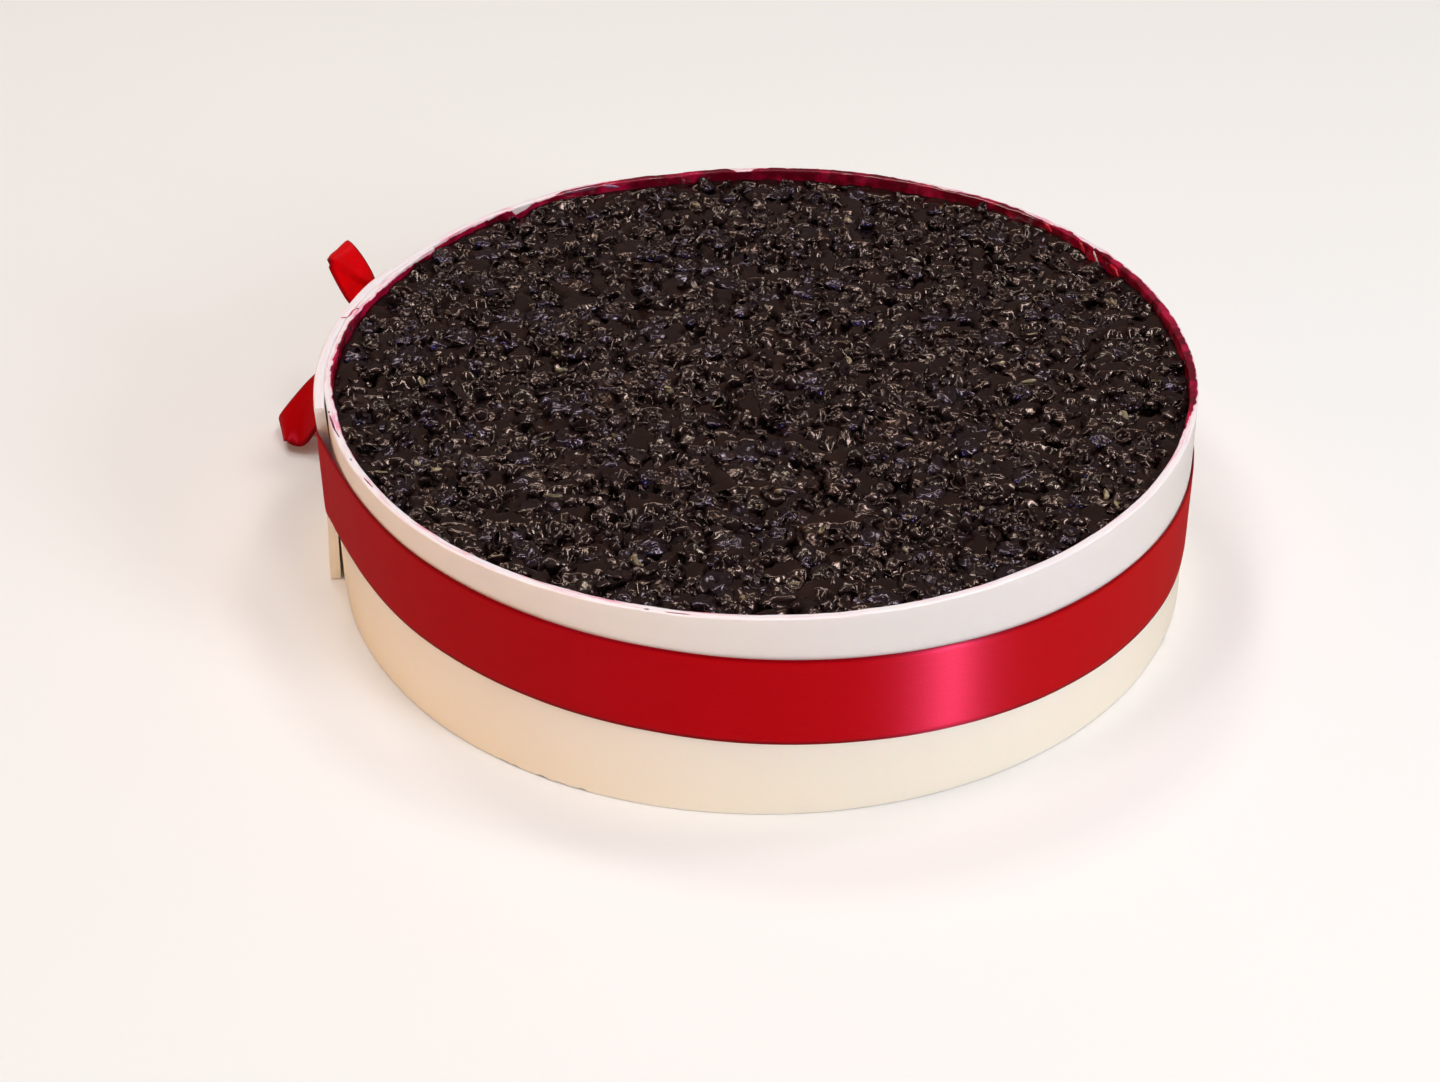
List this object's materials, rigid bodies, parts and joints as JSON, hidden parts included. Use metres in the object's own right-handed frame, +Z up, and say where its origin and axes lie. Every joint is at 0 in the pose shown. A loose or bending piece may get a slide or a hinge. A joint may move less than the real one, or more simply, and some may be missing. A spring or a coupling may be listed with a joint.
{
  "type": "blueberry mousse cake",
  "caption": "Round blueberry mousse cake in a white chocolate collar, with crushed blueberries in jelly on top and a satin ribbon tied in a bow.",
  "frame": {"origin": "centre of the cake's base, on the surface that it stands on", "axes": "+Z up the cake's axis, -Y to the front that the picture shows, +X to the right; the bow is at -X +Y"},
  "size_m": [0.2599, 0.2311, 0.0626],
  "materials": {
    "white_chocolate": null,
    "sponge": null,
    "berry_jelly": null,
    "red_satin": "woven satin with a soft sheen"
  },
  "bodies": {
    "root": {"cake_body": "sponge", "topping": "berry_jelly", "collar": "white_chocolate", "ribbon_band": "red_satin", "ribbon_knot": "red_satin", "bow_loop_upper": "red_satin", "bow_loop_lower": "red_satin", "bow_tail_front": "red_satin", "bow_tail_back": "red_satin"}
  },
  "joints": []
}
